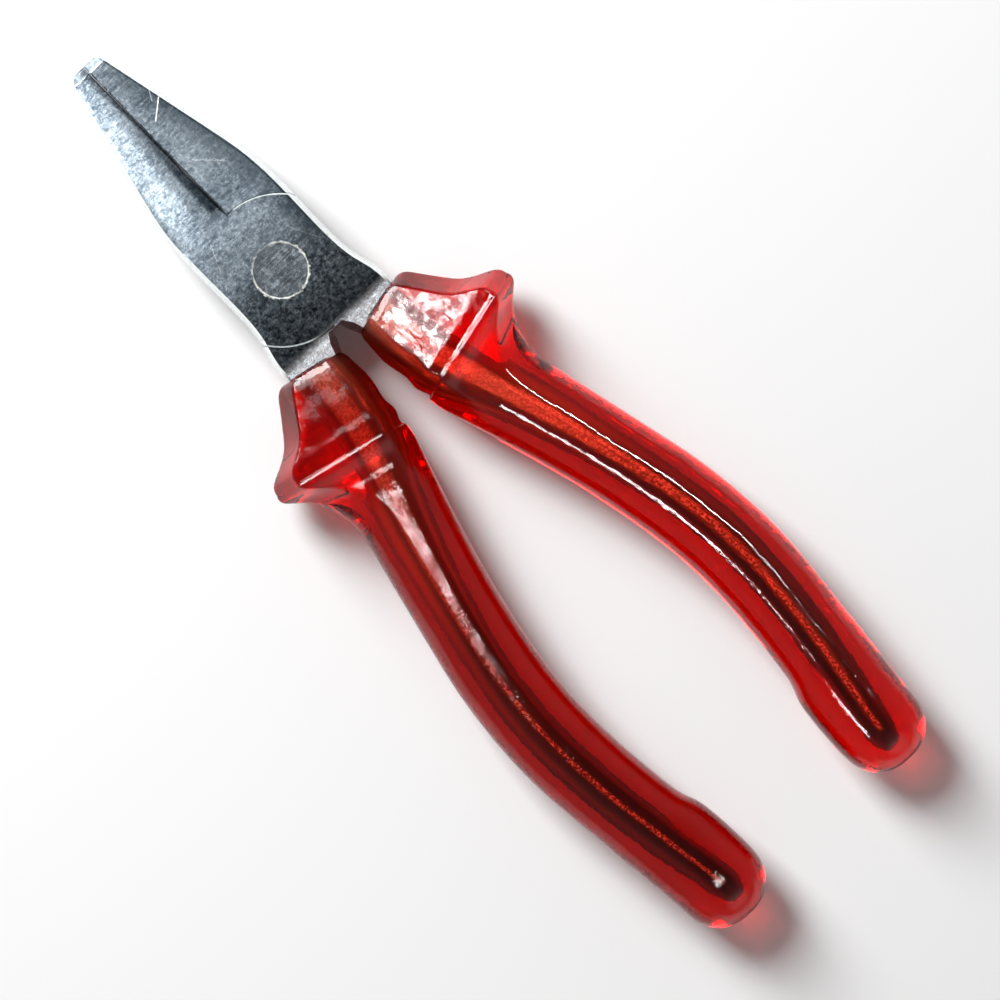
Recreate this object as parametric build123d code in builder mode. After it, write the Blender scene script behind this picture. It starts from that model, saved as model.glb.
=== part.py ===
"""Flat-jawed long nose pliers, 160 mm, with clear plastic grips.

Two identical forgings are laid on each other at the joint, one turned over, and held by a flush
rivet. The frame: X across the tool, +Y towards the jaw tips, +Z along the rivet. The rivet's axis
is X = Y = 0, and Z = 0 is the lower face of the joint. The jaws are closed.
"""

import os
from math import radians, tan

from build123d import *

# Joint
thickness = 9.6  # over both joint plates
mid = thickness / 2
lap_radius = 11.5  # round edge of each joint plate
lap_gap = 0.08  # room round that edge
lap_edge_break = 0.2
plate_gap = 0.06  # room between the plates
rivet_radius = 3.0
rivet_head_radius = 4.2
rivet_head_depth = 1.2
rivet_edge_break = 0.15
running_clearance = 0.03  # rivet in the upper half, which turns on it

# Head outline, half widths
tip_y = 42.47
tip_half_width = 3.38
tip_half_thickness = 2.5
tip_corner = 0.7
tip_bevel_length = 1.6
tip_bevel_drop = 0.6
nose_base = (7.42, 24.0)  # the nose's straight flanks run from here to the tip
shoulder = (9.02, 16.0)
joint_front = (9.38, 11.5)
waist = (9.34, 2.5)
hip = (9.88, -6.0)
shank_root = (10.95, -12.0)
head_end_y = -16.0
jaw_slope_start = 10.5  # the jaws' faces fall away from here to the tip
jaw_slope_blend = 80.0  # radius between the joint face and the jaw's face
shank_slope_start = -12.0
shank_slope = 13.0  # degrees
forging_draft = 0.5  # how far the flanks lean in, from the middle to each face
edge_break = 0.3

# Gripping faces
seam_gap = 0.02  # each side, jaws closed
relief_gap = 0.25  # each side, behind the teeth
relief_start_y = 16.0
relief_mid_y = 20.5
relief_end_y = 22.8
tooth_pitch = 1.0
tooth_width = 0.27
first_tooth_y = 23.6
tooth_count = 18

# Crown ground on the jaw beside the joint plate: its crest line, how high the crest stands over
# the flat face at each end, and the ramp that leads down to it from the joint face
crown_radius = 29.0
crest_back = (-3.9, 14.0, 0.22)
crest_front = (-1.9, 40.0, 0.0)
crown_ramp = 9.0  # degrees
crown_ramp_end_y = 20.0

# Throat between the shanks: distance along Y, half width at mid height, half width at the faces
throat_stations = [
    (-11.62, 0.75, 1.5),
    (-13.0, 1.1, 2.7),
    (-15.0, 2.0, 3.4),
    (-18.0, 2.8, 4.2),
]

# Shanks inside the grips: distance along Y, inner edge, outer edge, half thickness
shank_stations = [
    (-12.2, 1.5, 10.7, 4.3),
    (-14.0, 2.0, 10.8, 4.2),
    (-17.0, 2.75, 10.85, 3.95),
    (-21.0, 3.6, 11.1, 3.7),
    (-26.0, 4.85, 12.1, 3.5),
    (-31.0, 6.5, 13.3, 3.35),
    (-37.0, 8.8, 14.7, 3.15),
    (-44.0, 11.3, 16.3, 2.95),
    (-52.0, 13.8, 18.1, 2.8),
    (-60.0, 15.85, 19.85, 2.7),
    (-68.0, 17.4, 21.3, 2.65),
    (-76.0, 18.1, 22.0, 2.6),
    (-84.0, 18.0, 21.85, 2.6),
    (-92.0, 17.3, 21.1, 2.6),
    (-100.0, 16.2, 20.0, 2.6),
    (-106.0, 15.3, 19.0, 2.55),
    (-110.0, 14.8, 18.4, 2.4),
    (-112.3, 14.85, 17.95, 2.05),
    (-113.5, 15.4, 17.3, 1.3),
]

# Grips
cavity_clearance = 0.08
mouth_gap = 0.05  # from the shank root's shoulder to the grip
# Inner point and outer point in plan, width of the inner and outer bevel, half thickness,
# half height of the upright sides, corner radius
collar_stations = [
    ((2.05, -14.9), (11.9, -12.5), 2.3, 2.3, 5.1, 2.2, 0.7),
    ((1.87, -15.3), (12.7, -12.7), 2.6, 2.4, 5.35, 2.2, 0.7),
    ((1.72, -16.0), (13.4, -13.2), 2.8, 2.5, 5.6, 2.2, 0.7),
    ((1.6, -18.0), (14.7, -14.9), 3.0, 2.6, 5.95, 2.1, 0.7),
    ((1.55, -20.4), (16.3, -17.0), 3.1, 2.7, 6.35, 2.0, 0.7),
    ((2.02, -23.0), (18.0, -19.1), 3.1, 2.8, 6.75, 1.9, 0.7),
    ((2.22, -25.3), (20.7, -20.9), 3.1, 3.0, 7.1, 1.8, 0.7),
    ((2.42, -27.4), (23.35, -22.4), 3.1, 3.5, 7.4, 1.7, 0.7),
    ((2.54, -29.2), (24.12, -24.1), 3.1, 3.9, 7.65, 1.7, 0.7),
]
body_stations = [
    ((2.72, -30.8), (23.0, -26.05), 3.3, 4.4, 7.0, 1.8, 1.0),
    ((3.0, -32.0), (21.3, -27.65), 3.5, 4.6, 6.45, 2.0, 1.5),
    ((3.5, -33.6), (19.9, -29.9), 3.8, 4.8, 6.15, 2.2, 2.3),
    ((4.3, -36.2), (18.95, -33.2), 4.0, 4.8, 6.0, 2.4, 3.4),
    ((5.6, -40.4), (19.1, -37.5), 4.0, 4.4, 6.0, 2.5, 4.4),
    ((7.65, -47.3), (20.6, -44.2), 3.9, 4.1, 6.0, 2.5, 4.8),
    ((9.45, -53.9), (22.18, -50.85), 4.0, 4.0, 6.0, 2.5, 5.0),
    ((10.9, -60.2), (23.75, -57.5), 4.0, 4.0, 6.0, 2.5, 5.0),
    ((11.87, -65.2), (24.95, -63.1), 4.0, 4.0, 6.0, 2.5, 5.0),
    ((12.6, -70.2), (25.8, -68.9), 4.0, 4.0, 6.0, 2.5, 5.0),
    ((13.02, -74.8), (26.27, -74.3), 4.0, 4.0, 6.0, 2.5, 5.0),
    ((13.13, -79.5), (26.4, -79.5), 4.0, 4.0, 6.0, 2.5, 5.0),
    ((12.95, -84.5), (26.16, -85.1), 4.0, 4.0, 6.0, 2.5, 5.0),
    ((12.53, -89.8), (25.6, -90.7), 4.0, 4.0, 6.0, 2.5, 5.0),
    ((11.95, -94.7), (25.08, -95.6), 4.0, 4.0, 6.0, 2.5, 5.0),
    ((11.4, -97.6), (24.86, -98.4), 4.1, 4.1, 6.0, 2.5, 5.0),
    ((10.65, -99.6), (24.6, -100.3), 4.2, 4.2, 6.0, 2.5, 5.0),
    ((10.08, -102.6), (24.32, -103.0), 4.3, 4.3, 6.0, 2.5, 5.0),
    ((9.75, -106.8), (23.87, -107.0), 4.3, 4.3, 6.0, 2.5, 5.0),
    ((9.65, -110.5), (23.55, -110.5), 4.3, 4.3, 6.0, 2.5, 5.0),
]
# The rounded end of a grip: where it ends, how square its curve is, and where its sections stand
# along it, from 0 at the last station to 1 at the end
grip_end_y = -117.5
grip_end_power = 2.2
grip_end_fractions = (0.35, 0.6, 0.8, 0.92, 0.98)


def across(y):
    """The plane that stands across the tool at a distance along Y."""
    return Plane.XZ.offset(-y)


def head_section(height, inset):
    """The outline of both jaws, the joint and the shank roots, at one height."""
    with BuildSketch(Plane.XY.offset(height)) as outline:
        with BuildLine():
            end = tip_y - inset
            nose = Polyline(
                (0, end),
                (tip_half_width - tip_corner - inset, end),
                (tip_half_width - inset, end - tip_corner),
                (nose_base[0] - inset, nose_base[1]),
            )
            flank = Spline(
                nose @ 1,
                (shoulder[0] - inset, shoulder[1]),
                (joint_front[0] - inset, joint_front[1]),
                (waist[0] - inset, waist[1]),
                (hip[0] - inset, hip[1]),
                (shank_root[0] - inset, shank_root[1]),
                tangents=((nose_base[0] - tip_half_width, nose_base[1] - tip_y), (0, -1)),
            )
            Polyline(flank @ 1, (shank_root[0] - inset, head_end_y), (0, head_end_y), (0, end))
        make_face()
        mirror(about=Plane.YZ)
    return outline.sketch


def throat_section(height, column):
    """The gap between the shank roots, at one height; column picks the half width."""
    right = [(station[column], station[0]) for station in throat_stations]
    left = [(-x, y) for x, y in reversed(right)]
    with BuildSketch(Plane.XY.offset(height)) as gap:
        with BuildLine():
            Polyline(*right, *left, close=True)
        make_face()
    return gap.sketch


def shank_sections(growth):
    """The rounded sections of a shank, grown all round by the given amount."""
    sections = []
    for y, inner, outer, half_thickness in shank_stations:
        width = outer - inner + 2 * growth
        depth = 2 * (half_thickness + growth)
        with BuildSketch(across(y - growth)) as section:
            with Locations(((inner + outer) / 2, mid)):
                RectangleRounded(width, depth, 0.42 * min(width, depth))
        sections.append(section.sketch)
    return sections


def grip_section(inner, outer, inner_bevel, outer_bevel, half_thickness, side, radius):
    """An eight-sided section of a grip, with rounded corners, from one point in plan to another."""
    run = Vector(*outer) - Vector(*inner)
    width = run.length
    plane = Plane(origin=(*inner, mid), x_dir=run, z_dir=run.cross(Vector(0, 0, 1)))
    upper = [(0, side), (inner_bevel, half_thickness), (width - outer_bevel, half_thickness), (width, side)]
    lower = [(x, -z) for x, z in reversed(upper)]
    with BuildSketch(plane) as section:
        with BuildLine():
            Polyline(*upper, *lower, close=True)
        make_face()
        fillet(section.vertices(), radius)
    return section.sketch


def grip_end_sections():
    """The shrinking sections that round off the end of a grip."""
    inner, outer, *shape = body_stations[-1]
    half_width = (outer[0] - inner[0]) / 2
    sections = []
    for fraction in grip_end_fractions:
        size = (1 - fraction**grip_end_power) ** (1 / grip_end_power)
        y = inner[1] + fraction * (grip_end_y - inner[1])
        inset = half_width * (1 - size)
        ends = ((inner[0] + inset, y), (outer[0] - inset, y))
        sections.append(grip_section(*ends, *[size * value for value in shape]))
    return sections


# The blank of one forging: both jaws and the joint at full thickness, and the shank roots
with BuildPart() as blank:
    levels = [(0, forging_draft), (mid, 0), (thickness, forging_draft)]
    loft([head_section(height, inset) for height, inset in levels], ruled=True)
    end_drop = (shank_slope_start - head_end_y) * tan(radians(shank_slope))
    upper_side = [
        (tip_y, tip_half_thickness - tip_bevel_drop),
        (tip_y - tip_bevel_length, tip_half_thickness),
        (jaw_slope_start, mid),
        (shank_slope_start, mid),
        (head_end_y, mid - end_drop),
    ]
    lower_side = [(y, -rise) for y, rise in reversed(upper_side)]
    with BuildSketch(Plane.YZ) as side:
        with BuildLine():
            Polyline(*[(y, mid + rise) for y, rise in upper_side + lower_side], close=True)
        make_face()
        starts = [(jaw_slope_start, 0), (jaw_slope_start, thickness)]
        corners = [vertex for vertex in side.vertices() if (vertex.X, vertex.Y) in starts]
        fillet(corners, jaw_slope_blend)
    extrude(amount=20, both=True, mode=Mode.INTERSECT)
    faces_up_and_down = blank.faces().filter_by(lambda face: abs(face.normal_at().Z) > 0.9)
    chamfer(faces_up_and_down.edges().filter_by(lambda edge: abs(edge.center().X) > 2), edge_break)

# The waste above the crown: a block less the ground cylinder
face_slope = (mid - tip_half_thickness) / (tip_y - tip_bevel_length - jaw_slope_start)


def on_face(x, y, rise):
    """A point that stands the given height over the flat face of a jaw."""
    return Vector(x, y, thickness - (y - jaw_slope_start) * face_slope + rise)


crest = on_face(*crest_front) - on_face(*crest_back)
crown_normal = crest.cross(Vector(1, 0, 0)).normalized() * -1
crown_axis = Plane(origin=on_face(*crest_back) - crown_normal * crown_radius, z_dir=crest)
with BuildPart() as crown_waste:
    ramp_drop = (crown_ramp_end_y - jaw_slope_start) * tan(radians(crown_ramp))
    with BuildSketch(Plane.YZ.offset(seam_gap)):
        with BuildLine():
            Polyline(
                (jaw_slope_start, thickness),
                (crown_ramp_end_y, thickness - ramp_drop),
                (crown_ramp_end_y, mid),
                (2 * tip_y, mid),
                (2 * tip_y, thickness),
                close=True,
            )
        make_face()
    extrude(amount=-lap_radius - seam_gap)
    with BuildSketch(crown_axis):
        Circle(crown_radius)
    extrude(amount=2 * tip_y, both=True, mode=Mode.SUBTRACT)

# The plane of a grip's mouth, facing down the handle
mouth_inner, mouth_outer = collar_stations[0][:2]
mouth_run = Vector(*mouth_outer) - Vector(*mouth_inner)
mouth = Plane(origin=(*mouth_inner, mid), x_dir=mouth_run, z_dir=mouth_run.cross(Vector(0, 0, 1)))

# The room for the other forging's jaw and shank, outside the round joint plate
with BuildPart() as joint_plate:
    with BuildSketch(Plane.XY):
        Circle(lap_radius)
    extrude(amount=thickness)
    chamfer(joint_plate.faces().sort_by(Axis.Z)[-1].edges(), lap_edge_break)
with BuildPart() as other_room:
    with BuildSketch(Plane.XY):
        with Locations((-seam_gap, 0)):
            Rectangle(2 * lap_radius, 2 * tip_y, align=(Align.MIN, Align.MIN))
        Rectangle(2 * lap_radius, 2 * tip_y, align=(Align.MAX, Align.MAX))
    extrude(amount=thickness)
    add(joint_plate.part, mode=Mode.SUBTRACT)

# One forging: its jaw at -X, its joint plate on top, its shank at +X
with BuildPart() as forging:
    add(blank.part)
    add(other_room.part, mode=Mode.SUBTRACT)
    # The lap that takes the other forging's joint plate
    with BuildSketch(Plane.XY):
        Circle(lap_radius + lap_gap)
    extrude(amount=mid + plate_gap / 2, mode=Mode.SUBTRACT)
    # The throat
    throat_levels = [(-1, 2), (mid, 1), (thickness + 1, 2)]
    loft([throat_section(*level) for level in throat_levels], ruled=True, mode=Mode.SUBTRACT)
    # Crown, relief behind the teeth, and the teeth
    add(crown_waste.part, mode=Mode.SUBTRACT)
    with BuildSketch(Plane.XY):
        with BuildLine():
            Polyline(
                (seam_gap, relief_start_y),
                (-seam_gap, relief_start_y),
                (-relief_gap, relief_mid_y),
                (-seam_gap, relief_end_y),
                (seam_gap, relief_end_y),
                close=True,
            )
        make_face()
        with Locations([(0, first_tooth_y + i * tooth_pitch) for i in range(tooth_count)]):
            Rectangle(tooth_width, tooth_width, rotation=45)
    extrude(amount=thickness, mode=Mode.SUBTRACT)
    # The shank, from a shoulder at the grip's mouth
    split(bisect_by=mouth.offset(-mouth_gap), keep=Keep.BOTTOM)
    loft(shank_sections(0))


def rivet_solid(growth, overrun):
    """The rivet's shape, grown all round, with its ends run past the joint faces."""
    head = rivet_head_radius + growth
    stem = rivet_radius + growth
    with BuildPart() as solid:
        with BuildSketch(Plane.XZ):
            with BuildLine():
                Polyline(
                    (0, -overrun),
                    (head, -overrun),
                    (head, 0),
                    (stem, rivet_head_depth),
                    (stem, thickness - rivet_head_depth),
                    (head, thickness),
                    (head, thickness + overrun),
                    (0, thickness + overrun),
                    close=True,
                )
            make_face()
        revolve(axis=Axis.Z)
    return solid.part


turn_over = Axis((0, 0, mid), (0, 1, 0))

with BuildPart() as upper_half:
    add(forging.part)
    add(rivet_solid(running_clearance, 1), mode=Mode.SUBTRACT)
upper_half.part.label = "upper_half"

with BuildPart() as lower_half:
    add(forging.part.rotate(turn_over, 180))
    add(rivet_solid(0, 1), mode=Mode.SUBTRACT)
lower_half.part.label = "lower_half"

with BuildPart() as pivot_rivet:
    with BuildSketch(Plane.XZ):
        with BuildLine():
            Polyline(
                (0, 0),
                (rivet_head_radius - rivet_edge_break, 0),
                (rivet_head_radius - rivet_edge_break / 2, rivet_edge_break / 2),
                (rivet_radius, rivet_head_depth),
                (rivet_radius, thickness - rivet_head_depth),
                (rivet_head_radius - rivet_edge_break / 2, thickness - rivet_edge_break / 2),
                (rivet_head_radius - rivet_edge_break, thickness),
                (0, thickness),
                close=True,
            )
        make_face()
    revolve(axis=Axis.Z)
pivot_rivet.part.label = "pivot_rivet"

with BuildPart() as upper_grip:
    ridge = grip_section(*collar_stations[-1])
    loft([grip_section(*station) for station in collar_stations[:-1]] + [ridge])
    loft([ridge] + [grip_section(*station) for station in body_stations] + grip_end_sections())
    loft(shank_sections(cavity_clearance), mode=Mode.SUBTRACT)
upper_grip.part.label = "upper_grip"

with BuildPart() as lower_grip:
    add(upper_grip.part.rotate(turn_over, 180))
lower_grip.part.label = "lower_grip"

os.makedirs("parts", exist_ok=True)
for piece in (upper_half, lower_half, pivot_rivet, upper_grip, lower_grip):
    part = piece.part
    print(part.label, part.is_valid, round(part.volume), len(part.solids()), part.bounding_box())
    export_step(part, f"parts/{part.label}.step")
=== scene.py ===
"""Looks for the flat-jawed pliers with clear red grips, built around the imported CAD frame."""

from math import pi, radians, tan

import bmesh
import bpy
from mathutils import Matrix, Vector
from mathutils.bvhtree import BVHTree


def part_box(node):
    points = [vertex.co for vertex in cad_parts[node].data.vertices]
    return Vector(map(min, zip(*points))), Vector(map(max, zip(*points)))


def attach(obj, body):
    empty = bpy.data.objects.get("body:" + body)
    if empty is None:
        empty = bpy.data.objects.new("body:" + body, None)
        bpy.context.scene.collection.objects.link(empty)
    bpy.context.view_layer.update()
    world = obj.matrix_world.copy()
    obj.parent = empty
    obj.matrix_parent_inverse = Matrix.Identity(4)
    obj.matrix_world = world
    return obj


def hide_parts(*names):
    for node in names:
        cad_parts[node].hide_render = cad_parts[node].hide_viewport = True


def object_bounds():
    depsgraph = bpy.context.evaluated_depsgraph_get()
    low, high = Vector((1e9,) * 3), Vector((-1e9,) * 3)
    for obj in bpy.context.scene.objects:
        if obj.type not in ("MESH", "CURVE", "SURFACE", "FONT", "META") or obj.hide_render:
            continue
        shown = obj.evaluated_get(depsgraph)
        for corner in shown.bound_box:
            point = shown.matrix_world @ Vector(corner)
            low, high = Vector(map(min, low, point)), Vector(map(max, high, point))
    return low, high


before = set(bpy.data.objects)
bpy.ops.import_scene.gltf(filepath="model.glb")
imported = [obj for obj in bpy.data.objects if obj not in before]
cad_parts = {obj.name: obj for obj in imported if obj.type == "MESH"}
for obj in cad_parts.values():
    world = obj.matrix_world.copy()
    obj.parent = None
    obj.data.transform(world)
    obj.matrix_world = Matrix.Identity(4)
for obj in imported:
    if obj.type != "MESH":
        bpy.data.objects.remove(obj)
cad_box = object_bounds()
scene = bpy.context.scene
MM = 0.001

# ---- Camera: straight down on the tool, jaws to the upper left ----
VIEW_TURN = radians(-44.21)
VIEW_WIDTH = 0.14903
VIEW_HEIGHT = 1.2
AIM_FROM_TIP = (-0.00044, -0.08969)  # from the middle of the jaw tips to the middle of the picture
AIM_HEIGHT = 0.7  # as a share of the height of the rivet's top
SENSOR = 36.0


def make_camera():
    data = bpy.data.cameras.new("camera")
    data.sensor_width = SENSOR
    data.lens = SENSOR * VIEW_HEIGHT / VIEW_WIDTH
    camera = bpy.data.objects.new("camera", data)
    tip_y = cad_box[1].y
    aim_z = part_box("pivot_rivet")[1].z * AIM_HEIGHT
    camera.location = (AIM_FROM_TIP[0], tip_y + AIM_FROM_TIP[1], aim_z + VIEW_HEIGHT)
    camera.rotation_euler = (0, 0, VIEW_TURN)
    scene.collection.objects.link(camera)
    scene.camera = camera


# ---- Shader helpers ----
class Shader:
    """A material or world tree with short calls for the nodes used here."""

    def __init__(self, owner):
        owner.use_nodes = True
        self.tree = owner.node_tree

    def node(self, kind, **values):
        made = self.tree.nodes.new(kind)
        for key, value in values.items():
            setattr(made, key, value)
        return made

    def feed(self, socket, value):
        if isinstance(value, bpy.types.NodeSocket):
            self.tree.links.new(value, socket)
        else:
            socket.default_value = value

    def math(self, operation, a, b=0.0, clamp=False):
        made = self.node("ShaderNodeMath", operation=operation, use_clamp=clamp)
        self.feed(made.inputs[0], a)
        self.feed(made.inputs[1], b)
        return made.outputs[0]

    def times(self, first, *others):
        for other in others:
            first = self.math("MULTIPLY", first, other)
        return first

    def plus(self, first, *others):
        for other in others:
            first = self.math("ADD", first, other)
        return first

    def minus(self, a, b):
        return self.math("SUBTRACT", a, b)

    def most(self, first, *others):
        for other in others:
            first = self.math("MAXIMUM", first, other)
        return first

    def absolute(self, value):
        return self.math("ABSOLUTE", value)

    def ramp(self, value, low, high, start=0.0, end=1.0, smooth=True):
        """Maps low..high to start..end."""
        made = self.node("ShaderNodeMapRange")
        made.interpolation_type = "SMOOTHSTEP" if smooth else "LINEAR"
        sockets = ("Value", "From Min", "From Max", "To Min", "To Max")
        for name, item in zip(sockets, (value, low, high, start, end)):
            self.feed(made.inputs[name], item)
        return made.outputs[0]

    def vary(self, noise, start, end, low=0.3, high=0.7):
        """Maps the range that a noise mostly keeps to, low..high, to start..end."""
        return self.ramp(noise, low, high, start, end)

    def band(self, value, low, high, edge):
        """One between low and high, falling to nothing over the edge on both sides."""
        rise = self.ramp(value, low - edge, low)
        fall = self.ramp(value, high, high + edge, 1.0, 0.0)
        return self.times(rise, fall)

    def mix(self, factor, a, b):
        """Colour a where the factor is nothing, colour b where it is one."""
        made = self.node("ShaderNodeMix", data_type="RGBA")
        self.feed(made.inputs[0], factor)
        for socket, colour in ((made.inputs[6], a), (made.inputs[7], b)):
            self.feed(socket, colour if isinstance(colour, bpy.types.NodeSocket) else (*colour, 1))
        return made.outputs[2]

    def scaled(self, vector, factor):
        """A colour or a place, times the factor."""
        made = self.node("ShaderNodeVectorMath", operation="SCALE")
        self.feed(made.inputs[0], vector)
        self.feed(made.inputs["Scale"], factor)
        return made.outputs[0]

    def millimetres(self):
        """The piece's own coordinates in millimetres, and their three parts."""
        coordinates = self.node("ShaderNodeTexCoord")
        place = self.scaled(coordinates.outputs["Object"], 1 / MM)
        split = self.node("ShaderNodeSeparateXYZ")
        self.feed(split.inputs[0], place)
        return place, split.outputs[0], split.outputs[1], split.outputs[2]

    def from_pivot(self, x, y):
        """How far the place is from the rivet's axis."""
        return self.math("SQRT", self.plus(self.times(x, x), self.times(y, y)))

    def upright(self):
        """How far the surface faces up or down: one on a level face, nothing on a wall."""
        coordinates = self.node("ShaderNodeTexCoord")
        split = self.node("ShaderNodeSeparateXYZ")
        self.feed(split.inputs[0], coordinates.outputs["Normal"])
        return self.absolute(split.outputs[2])

    def noise(self, vector, scale, detail, rough, stretch=(1, 1, 1), turn=0.0, shift=0.0):
        mapping = self.node("ShaderNodeMapping")
        self.feed(mapping.inputs["Vector"], vector)
        mapping.inputs["Location"].default_value = (shift, shift, shift)
        mapping.inputs["Rotation"].default_value = (0, 0, radians(turn))
        mapping.inputs["Scale"].default_value = stretch
        made = self.node("ShaderNodeTexNoise")
        self.feed(made.inputs["Vector"], mapping.outputs[0])
        made.inputs["Scale"].default_value = scale
        made.inputs["Detail"].default_value = detail
        made.inputs["Roughness"].default_value = rough
        return made.outputs[0]

    def line(self, x, y, start, end, half_width):
        """A thin mark from one point to another, in millimetres."""
        run = Vector(end) - Vector(start)
        along_x, along_y = run.normalized()
        dx = self.minus(x, start[0])
        dy = self.minus(y, start[1])
        along = self.plus(self.times(dx, along_x), self.times(dy, along_y))
        off = self.minus(self.times(dy, along_x), self.times(dx, along_y))
        near = self.ramp(self.absolute(off), half_width * 0.5, half_width * 1.5, 1.0, 0.0)
        return self.times(near, self.band(along, 0.0, run.length, 0.3))

    def bump(self, height, depth_mm):
        made = self.node("ShaderNodeBump")
        made.inputs["Strength"].default_value = 1.0
        made.inputs["Distance"].default_value = depth_mm * MM
        self.feed(made.inputs["Height"], height)
        return made.outputs[0]

    def curve(self, value, points, top=1.0):
        """A line through the points (value, result), with results from 0 to top."""
        low, high = points[0][0], points[-1][0]
        made = self.node("ShaderNodeFloatCurve")
        self.feed(made.inputs["Value"], self.ramp(value, low, high, smooth=False))
        line = made.mapping.curves[0]
        places = [((at - low) / (high - low), result / top) for at, result in points]
        line.points[0].location = places[0]
        line.points[1].location = places[-1]
        for place in places[1:-1]:
            line.points.new(*place)
        for point in line.points:
            point.handle_type = "VECTOR"
        made.mapping.update()
        return self.times(made.outputs[0], top)


def material(name):
    made = bpy.data.materials.new(name)
    shader = Shader(made)
    return made, shader, shader.tree.nodes["Principled BSDF"]


# ---- Steel: millimetres forward of the rivet (y) and out from the seam (x) ----
MID_HEIGHT = 4.8  # where the two halves meet
# Half the width of the head
OUTLINE = [
    (-16, 11.0), (-12, 10.95), (-6, 9.88), (2.5, 9.34), (11.5, 9.38), (16, 9.02), (24, 7.42), (42.5, 3.38),
]
# How bright the head's faces are painted, as painted light and shade: darkest at the back of the joint plate
HEAD_PAINTED_SHADE = [
    (-16, 1.0), (-12.2, 1.0), (-11.2, 0.1), (-7.0, 0.13), (0, 0.3), (4, 0.6), (9, 0.66), (14, 0.42),
    (40.6, 0.5), (41.1, 0.08), (43, 0.08),
]
# Width and strength of the painted shade in the hollow beside the seam
HOLLOW_SHADE_WIDTH = [(10, 1.7), (20, 1.6), (27, 1.0), (37, 0.3), (43, 0.2)]
HOLLOW_SHADE_STRENGTH = [(10, 0.0), (11.5, 0.0), (13.5, 1.0), (21, 1.0), (27, 0.75), (37, 0.35), (41, 0.0), (43, 0.0)]
# How bright the forged scale on the shank is
SCALE_SHADE = [(-115, 0.22), (-90, 0.25), (-60, 0.5), (-45, 0.9), (-12, 1.0)]
# Where one look gives way to the next, as two values of y
GRIP_START = (-13.6, -15.5)
ROOT_START = (-10.5, -12.5)
FLANK_START = (-12.5, -11.0)
THROAT_START = (-10.6, -11.4)
EDGE_SHADE_LINE_START = (-9.0, -6.0)
CROWN_START = (8.0, 18.0)
SEAM_START = (11.0, 13.0)
TIP_START = (40.4, 41.4)
SLOT_SPAN = (17.6, 22.0)
EDGE_SHADE_SPAN = (2.0, 36.0)
# The painted highlight's distance from the seam along the crown, at two values of y
CROWN_SPAN = (10.0, 40.0)
CROWN_X = (-6.4, -2.6)
# Radii of the pale ring round the rivet, and of the rivet's own bright rim
RING = (4.1, 4.3)
RIVET_RIM = (3.98, 4.08)
STEEL_BUMP = 0.007
RIVET_BUMP = 0.012
# Scratches: start, end, half the width and strength
SCRATCHES = [
    ((4.9, 31.2), (2.2, 29.0), 0.09, 1.0),
    ((5.2, 34.0), (3.9, 31.6), 0.05, 0.4),
    ((-6.3, 24.5), (-2.0, 27.2), 0.04, 0.4),
    ((2.0, 21.0), (5.4, 17.6), 0.04, 0.4),
    ((-7.0, 5.2), (-4.9, 9.8), 0.05, 0.4),
    ((5.1, 4.4), (7.6, -0.6), 0.04, 0.4),
]
DARK_STEEL, PALE_STEEL = (0.13, 0.18, 0.23), (0.76, 0.88, 0.98)
DARK_RIVET, PALE_RIVET = (0.24, 0.30, 0.36), (0.78, 0.88, 0.96)
DULL_FLANK, CLEAN_FLANK = (0.62, 0.68, 0.70), (0.90, 0.94, 0.95)
# Painted shade in the hollow beside the seam, and along the seam
HOLLOW_SHADE = (0.005, 0.009, 0.014)
SEAM_SHADE = (0.015, 0.02, 0.025)
# Painted shade beside one edge, and a painted dark line inside it
SHADE_BESIDE_EDGE = (0.04, 0.055, 0.07)
EDGE_SHADE_LINE = (0.02, 0.03, 0.035)
SCRATCHED = (0.92, 0.92, 0.92)
# Painted highlight on the chamfered corners
CORNER_HIGHLIGHT = (0.95, 1.0, 0.985)
# Painted shade where the two shanks meet
THROAT_SHADE = (0.03, 0.02, 0.015)
# Pale ring round the rivet, and on the rivet's rim
PALE_RING = (0.95, 0.94, 0.88)
# Painted light on the sides of the slit
SLOT_PAINTED_LIGHT = (0.97, 0.97, 0.97)
PALE_ROOT = (0.92, 0.86, 0.84)
# Forged scale, and the painted highlight along its crest
DARK_SCALE, CREST_HIGHLIGHT = (0.50, 0.36, 0.28), (1.0, 0.92, 0.85)


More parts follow.
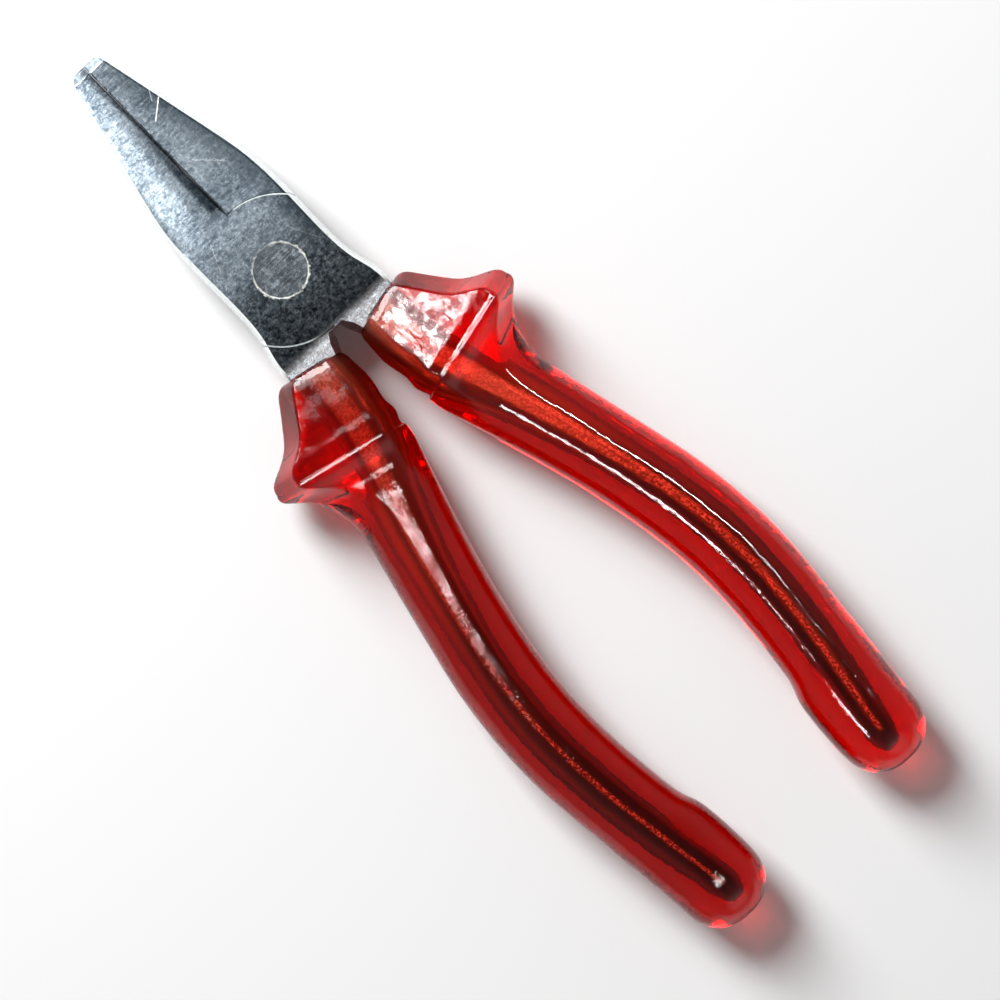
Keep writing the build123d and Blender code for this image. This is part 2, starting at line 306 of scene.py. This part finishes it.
class Steel:
    """The look of both forgings: a ground head, and a shank with forged scale inside the grip."""

    def __init__(self):
        self.material, self.s, self.principled = material("ground_steel")
        s = self.s
        self.place, self.x, self.y, z = s.millimetres()
        top = s.ramp(z, MID_HEIGHT - 0.01, MID_HEIGHT + 0.01, -1.0, 1.0)
        self.side = s.times(self.x, top)  # the two faces of the tool are turned-over copies
        self.wide = s.absolute(self.x)
        self.flat = s.upright()
        self.mottle = s.noise(self.place, 1.2, 7, 0.7)
        self.streak = s.noise(self.place, 1.0, 5, 0.7, stretch=(0.7, 2.8, 0.35))
        self.speck = s.noise(self.place, 3.0, 3, 0.7, shift=3)
        self.fleck = s.noise(self.place, 1.8, 4, 0.75, shift=23)
        self.forged = s.ramp(self.y, *GRIP_START)

    def crown_highlight(self):
        """Painted highlight: a bright band along the crown of one jaw."""
        s = self.s
        off = s.minus(self.side, s.ramp(self.y, *CROWN_SPAN, *CROWN_X, smooth=False))
        band = s.times(s.band(off, -1.0, 0.8, 1.8), s.ramp(self.y, *CROWN_START))
        return s.times(band, s.vary(self.mottle, 0.35, 0.75))

    def face(self):
        """Mottled ground face under painted light and shade, with one jaw's tip painted darker and the
        other's brighter.
        """
        s = self.s
        cloud = s.noise(self.place, 0.16, 3, 0.5, shift=7)
        grain = s.plus(
            s.vary(self.mottle, -0.45, 0.45), s.vary(self.streak, -0.6, 0.6), s.vary(cloud, -0.3, 0.3),
            s.vary(self.speck, -0.25, 0.45, low=0.4))
        tone = s.math("ADD", s.times(grain, 0.42), 0.42, clamp=True)
        colour = s.mix(tone, DARK_STEEL, PALE_STEEL)
        spread = s.ramp(self.y, -6.0, 8.0, 0.85, 0.3)
        flecks = s.plus(1.0, s.times(s.vary(self.fleck, -1.0, 1.0, low=0.34, high=0.66), spread))
        # Painted light and shade: the head's brightness along y, and at the tips darker on one side and
        # brighter on the other
        shade = s.times(s.curve(self.y, HEAD_PAINTED_SHADE, top=1.2), flecks)
        tip_light = s.times(s.ramp(self.y, *TIP_START), s.ramp(self.side, -0.5, 0.5, -0.8, 0.8))
        return s.scaled(colour, s.times(s.plus(shade, self.crown_highlight()), s.plus(1.0, tip_light)))

    def seam(self, colour):
        """Painted shade in the hollow beside the seam, and a painted dark line along the seam."""
        s = self.s
        uneven = s.vary(self.fleck, -0.3, 0.3)
        reach = s.plus(self.side, s.curve(self.y, HOLLOW_SHADE_WIDTH, top=2.0), uneven)
        # Painted shade in the hollow beside the seam
        hollow_shade = s.times(s.ramp(reach, -0.5, 0.4), s.ramp(self.side, 0.2, 0.0), s.curve(self.y, HOLLOW_SHADE_STRENGTH))
        colour = s.mix(s.times(hollow_shade, s.vary(self.fleck, 0.97, 0.85, low=0.35, high=0.65)), colour, HOLLOW_SHADE)
        off = s.plus(self.wide, s.vary(self.fleck, -0.12, 0.12))
        # Painted shade along the seam itself
        line_shade = s.times(s.ramp(off, 0.34, 0.14), s.ramp(self.y, *SEAM_START, 0.0, 0.9))
        return s.mix(line_shade, colour, SEAM_SHADE)

    def shade_beside_edge(self, colour):
        """Painted shade beside one edge: darker ground there, with a fine painted dark line just inside it.
        """
        s = self.s
        inside = s.minus(s.curve(self.y, OUTLINE, top=12.0), self.side)
        beside = s.times(s.ramp(inside, 5.0, 0.9), s.band(self.y, *EDGE_SHADE_SPAN, 5.0))
        colour = s.mix(s.times(beside, 0.7), colour, SHADE_BESIDE_EDGE)
        rim = s.times(s.band(inside, 0.85, 1.0, 0.12), s.ramp(self.y, *EDGE_SHADE_LINE_START))
        return s.mix(s.times(rim, s.vary(self.mottle, 0.95, 0.7, low=0.35, high=0.65)), colour, EDGE_SHADE_LINE)

    def marks(self):
        """A few scratches, and faint hair lines in two directions."""
        s = self.s
        marks = 0.0
        for start, end, half_width, strength in SCRATCHES:
            marks = s.most(s.times(s.line(self.x, self.y, start, end, half_width), strength), marks)
        along = s.noise(self.place, 1.0, 2, 0.5, stretch=(0.12, 5.0, 0.2), turn=38)
        across = s.noise(self.place, 1.0, 2, 0.5, stretch=(0.10, 5.0, 0.2), turn=-24, shift=11)
        hair = s.most(s.ramp(along, 0.66, 0.72), s.ramp(across, 0.67, 0.73))
        return s.most(marks, s.times(hair, 0.12))

    def flanks(self, colour):
        """Clean brushed flanks, and painted highlights on the chamfered corners above and below them."""
        s = self.s
        outer = s.times(s.ramp(self.wide, 0.9, 1.4), s.ramp(self.y, *FLANK_START))
        brushed = s.noise(self.place, 1.0, 5, 0.65, stretch=(2.2, 2.2, 0.35), shift=17)
        clean = s.mix(s.vary(brushed, 0.0, 1.0), DULL_FLANK, CLEAN_FLANK)
        colour = s.mix(s.times(s.ramp(self.flat, 0.35, 0.2), outer), colour, clean)
        edge_patches = s.vary(self.mottle, 0.75, 1.0, high=0.5)
        # Painted highlight on the chamfered corners, in patches
        corner = s.times(s.band(self.flat, 0.35, 0.8, 0.08), outer, edge_patches)
        return s.mix(corner, colour, CORNER_HIGHLIGHT), corner

    def throat(self, colour):
        """Painted shade on the walls where the two shanks meet behind the joint plate."""
        s = self.s
        wall = s.ramp(self.flat, 0.95, 0.86)
        throat = s.times(wall, s.ramp(self.y, *THROAT_START), s.ramp(self.wide, 5.2, 4.4))
        return s.mix(throat, colour, THROAT_SHADE)

    def ring(self, colour):
        """Pale ring at the rivet."""
        s = self.s
        radius = s.plus(s.from_pivot(self.x, self.y), s.vary(self.mottle, -0.2, 0.2))
        ring = s.times(s.band(radius, *RING, 0.1), s.vary(self.fleck, 0.12, 0.9, low=0.42, high=0.58))
        return s.mix(ring, colour, PALE_RING), ring

    def slot_light(self, colour):
        """Painted light on the sides of the slit behind the teeth, standing in for the floor seen through it.
        """
        s = self.s
        wall = s.ramp(self.flat, 0.5, 0.3)
        slot_light = s.times(wall, s.ramp(self.wide, 0.9, 0.6), s.band(self.y, *SLOT_SPAN, 0.4))
        return s.mix(slot_light, colour, SLOT_PAINTED_LIGHT), slot_light

    def shank(self, colour):
        """Paler roots behind the joint, then dark forged scale inside the grip, with a painted highlight
        along its crest.
        """
        s = self.s
        root = s.ramp(self.y, *ROOT_START, 0.0, 0.45)
        colour = s.mix(root, colour, PALE_ROOT)
        # Painted highlight where the shank faces straight up
        crest_highlight = s.ramp(self.flat, s.ramp(self.y, -75.0, -45.0, 0.975, 0.88), 0.998)
        glint = s.noise(self.place, 2.4, 3, 0.7, shift=31)
        crest_highlight = s.times(crest_highlight, s.vary(glint, 0.35, 1.0, low=0.42, high=0.6))
        scale = s.mix(crest_highlight, DARK_SCALE, CREST_HIGHLIGHT)
        scale = s.scaled(scale, s.most(crest_highlight, s.curve(self.y, SCALE_SHADE)))
        return s.mix(self.forged, colour, scale), s.times(crest_highlight, self.forged)

    def height(self, marks):
        """Fine grinding on the head, pitted scale on the shank, and the scratches cut into them."""
        s = self.s
        ground = s.plus(s.times(self.streak, 0.6), s.times(self.speck, 0.5))
        pitted = s.noise(self.place, 1.6, 5, 0.7, shift=5)
        height = s.plus(s.times(ground, s.minus(1.0, self.forged)), s.times(pitted, self.forged))
        return s.minus(height, s.times(marks, 0.3))

    def finish(self):
        s = self.s
        colour = self.shade_beside_edge(self.seam(self.face()))
        marks = self.marks()
        colour, corner = self.flanks(s.mix(marks, colour, SCRATCHED))
        colour, ring = self.ring(self.throat(colour))
        colour, slot_light = self.slot_light(colour)
        colour, crest_highlight = self.shank(colour)
        s.feed(self.principled.inputs["Base Color"], colour)
        dull = s.most(corner, ring, slot_light, s.times(crest_highlight, 0.8))
        s.feed(self.principled.inputs["Metallic"], s.ramp(dull, 0.0, 1.0, 1.0, 0.15, smooth=False))
        edge_patches = s.times(s.most(corner, ring), 0.15)
        rough = s.plus(s.vary(self.mottle, 0.24, 0.29), edge_patches, s.times(self.forged, 0.12))
        s.feed(self.principled.inputs["Roughness"], rough)
        s.feed(self.principled.inputs["Normal"], s.bump(self.height(marks), STEEL_BUMP))
        return self.material


def make_rivet_steel():
    made, s, principled = material("rivet_steel")
    place, x, y, _ = s.millimetres()
    streak = s.noise(place, 1.0, 4, 0.6, stretch=(0.3, 2.8, 0.3), turn=12)
    mottle = s.noise(place, 0.8, 5, 0.6, shift=2)
    fleck = s.noise(place, 1.3, 4, 0.75, shift=29)
    streaks = s.vary(streak, 0.0, 0.55, low=0.35, high=0.65)
    patches = s.vary(mottle, 0.0, 0.5, low=0.35, high=0.65)
    colour = s.mix(s.math("ADD", streaks, patches, clamp=True), DARK_RIVET, PALE_RIVET)
    colour = s.scaled(colour, s.vary(fleck, 0.26, 0.62, low=0.34, high=0.68))
    radius = s.plus(s.from_pivot(x, y), s.vary(mottle, -0.15, 0.15))
    rim = s.times(s.ramp(radius, *RIVET_RIM), s.vary(fleck, 0.1, 0.9, low=0.42, high=0.58))
    s.feed(principled.inputs["Base Color"], s.mix(rim, colour, PALE_RING))
    principled.inputs["Metallic"].default_value = 1.0
    s.feed(principled.inputs["Roughness"], s.vary(mottle, 0.22, 0.28))
    s.feed(principled.inputs["Normal"], s.bump(streak, RIVET_BUMP))
    return made


# ---- Clear red plastic ----
RED_LOSS = (5.0, 420.0, 520.0)  # lost per metre of plastic, for red, green and blue
PLASTIC_BUMP = 0.12
SCUFF_START = (-26.5, -24.0)  # scuffs on the upper faces begin between these, going forward
LEFT_SCUFF_SHIFT = 5.0  # and begin so much further forward on the left grip


def make_plastic():
    made, s, principled = material("clear_red_plastic")
    place, x, y, _ = s.millimetres()
    principled.inputs["Base Color"].default_value = (1, 1, 1, 1)
    principled.inputs["Transmission Weight"].default_value = 1.0
    principled.inputs["IOR"].default_value = 1.5
    principled.inputs["Specular IOR Level"].default_value = 0.3
    wear = s.noise(place, 0.5, 6, 0.7)
    reach = s.plus(y, s.ramp(x, -1.0, 1.0, -LEFT_SCUFF_SHIFT, 0.0))
    level = s.ramp(s.upright(), 0.9, 0.97)
    scuff = s.times(s.vary(wear, 0.0, 0.28, low=0.42, high=0.6), s.ramp(reach, *SCUFF_START), level)
    s.feed(principled.inputs["Roughness"], s.plus(scuff, s.vary(wear, 0.02, 0.1, low=0.5, high=0.8)))
    wave = s.noise(place, 0.22, 3, 0.5, stretch=(1, 0.6, 1))
    dimple = s.noise(place, 1.1, 4, 0.65, shift=4)
    s.feed(principled.inputs["Normal"], s.bump(s.plus(wave, s.times(dimple, 0.12)), PLASTIC_BUMP))
    most = max(RED_LOSS)
    absorption = s.node("ShaderNodeVolumeAbsorption")
    absorption.inputs["Color"].default_value = (*[1 - loss / most for loss in RED_LOSS], 1)
    absorption.inputs["Density"].default_value = most
    s.feed(s.tree.nodes["Material Output"].inputs["Volume"], absorption.outputs[0])
    return made


def dress(piece, look):
    piece.data.materials.clear()
    piece.data.materials.append(look)


NEAR_SHANK = 1.0 * MM  # plastic within this of the shank, and facing it, is the grip's inside
BITE = 0.05 * MM  # how far the plastic's inside is pressed into the shank's surface


def tight_grip(name, node, body, shank_node, look):
    """The grip as it sits on the tool, with its inside shrunk tight on the shank."""
    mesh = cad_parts[node].data.copy()
    shank = bmesh.new()
    shank.from_mesh(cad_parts[shank_node].data)
    tree = BVHTree.FromBMesh(shank)
    shank.free()
    grip = bmesh.new()
    grip.from_mesh(mesh)
    for vert in grip.verts:
        near, normal, _, distance = tree.find_nearest(vert.co, NEAR_SHANK)
        if near is not None and (near - vert.co).dot(vert.normal) > 0.5 * distance:
            vert.co = near - normal * BITE
    grip.to_mesh(mesh)
    grip.free()
    piece = bpy.data.objects.new(name, mesh)
    scene.collection.objects.link(piece)
    dress(piece, look)
    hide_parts(node)
    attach(piece, body)
    return piece


# ---- Floor and light ----
FLOOR_SIZE = 4.0
LAMP_DISTANCE = 0.9
LIGHT_TARGET = Vector((0, -0.03, 0))


def make_floor():
    bpy.ops.mesh.primitive_plane_add(size=FLOOR_SIZE, location=(0, 0, cad_box[0].z))
    floor = bpy.context.object
    floor.name = "floor"
    made, _, principled = material("floor")
    principled.inputs["Base Color"].default_value = (0.96, 0.96, 0.96, 1)
    principled.inputs["Roughness"].default_value = 0.8
    floor.data.materials.append(made)


def leaning(lean_x, lean_y):
    """The direction that leans so many degrees from straight up towards +X and +Y."""
    return Vector((tan(radians(lean_x)), tan(radians(lean_y)), 1)).normalized()


def glow(s, towards, lean, inner, outer, start, end):
    """From start to end by the angle from a direction, between the inner and outer angles in degrees."""
    dot = s.node("ShaderNodeVectorMath", operation="DOT_PRODUCT")
    s.feed(dot.inputs[0], towards)
    dot.inputs[1].default_value = leaning(*lean)
    angle = s.math("DIVIDE", s.math("ARCCOSINE", dot.outputs["Value"]), pi / 180)
    return s.ramp(angle, inner, outer, start, end)


def make_world():
    """A dim sky, darker overhead, with a pale patch low behind the handles and a pale horizon."""
    world = bpy.data.worlds.new("world")
    scene.world = world
    s = Shader(world)
    towards = s.node("ShaderNodeTexCoord").outputs["Generated"]
    overhead = glow(s, towards, (10.0, 6.0), 5.0, 40.0, 0.05, 0.17)
    behind = glow(s, towards, (0.0, -62.0), 12.0, 30.0, 0.5, 0.0)
    horizon = glow(s, towards, (0.0, 0.0), 48.0, 75.0, 0.0, 0.08)
    background = s.tree.nodes["Background"]
    s.feed(background.inputs["Strength"], s.plus(overhead, behind, horizon))
    background.inputs["Color"].default_value = (1, 1, 1, 1)


def softbox(name, lean, size, radiance, receivers=None):
    """A lamp that the tool sees leaning so far from straight up, sized across and along that lean.

    With receivers, a collection, it lights only the pieces in it."""
    data = bpy.data.lights.new(name, "AREA")
    data.shape = "RECTANGLE"
    data.size, data.size_y = size
    data.energy = radiance * pi * size[0] * size[1]
    lamp = bpy.data.objects.new(name, data)
    lamp.location = LIGHT_TARGET + leaning(*lean) * LAMP_DISTANCE
    lamp.rotation_euler = (LIGHT_TARGET - lamp.location).to_track_quat("-Z", "Y").to_euler()
    scene.collection.objects.link(lamp)
    if receivers:
        lamp.light_linking.receiver_collection = receivers


def lit_together(name, pieces):
    """A collection for a lamp that lights only these pieces."""
    group = bpy.data.collections.new(name)
    for piece in pieces:
        group.objects.link(piece)
    return group


make_camera()
steel = Steel().finish()
upper_half, lower_half, rivet = (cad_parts[name] for name in ("upper_half", "lower_half", "pivot_rivet"))
dress(upper_half, steel)
dress(lower_half, steel)
dress(rivet, make_rivet_steel())
plastic = make_plastic()
upper_grip = tight_grip("upper_grip_fitted", "upper_grip", "upper", "upper_half", plastic)
lower_grip = tight_grip("lower_grip_fitted", "lower_grip", "lower", "lower_half", plastic)
make_floor()
make_world()

right_grip = lit_together("right_grip", [upper_grip])
left_grip = lit_together("left_grip", [lower_grip])
steel_pieces = lit_together("steel_pieces", [upper_half, lower_half, rivet])
softbox("left_box", (-9, 13), (0.20, 0.20), 6.0, steel_pieces)
softbox("front_box", (0, 50), (0.36, 0.60), 17.0)
softbox("root_box", (0, -26), (0.16, 0.06), 6.0, steel_pieces)
softbox("strip", (24, 3), (0.30, 0.045), 60.0, right_grip)
softbox("inner_box", (-27, -8), (0.08, 0.14), 28.0, right_grip)
softbox("right_collar_box", (-2.4, 20.5), (0.065, 0.17), 34.0, right_grip)
softbox("left_collar_box", (6, 26), (0.12, 0.12), 4.0, left_grip)
softbox("handle_box", (-3, -12.5), (0.07, 0.05), 18.0, left_grip)
softbox("flat_box", (-1.7, -0.3), (0.034, 0.03), 36.0, left_grip)
scene.view_settings.view_transform = "Standard"
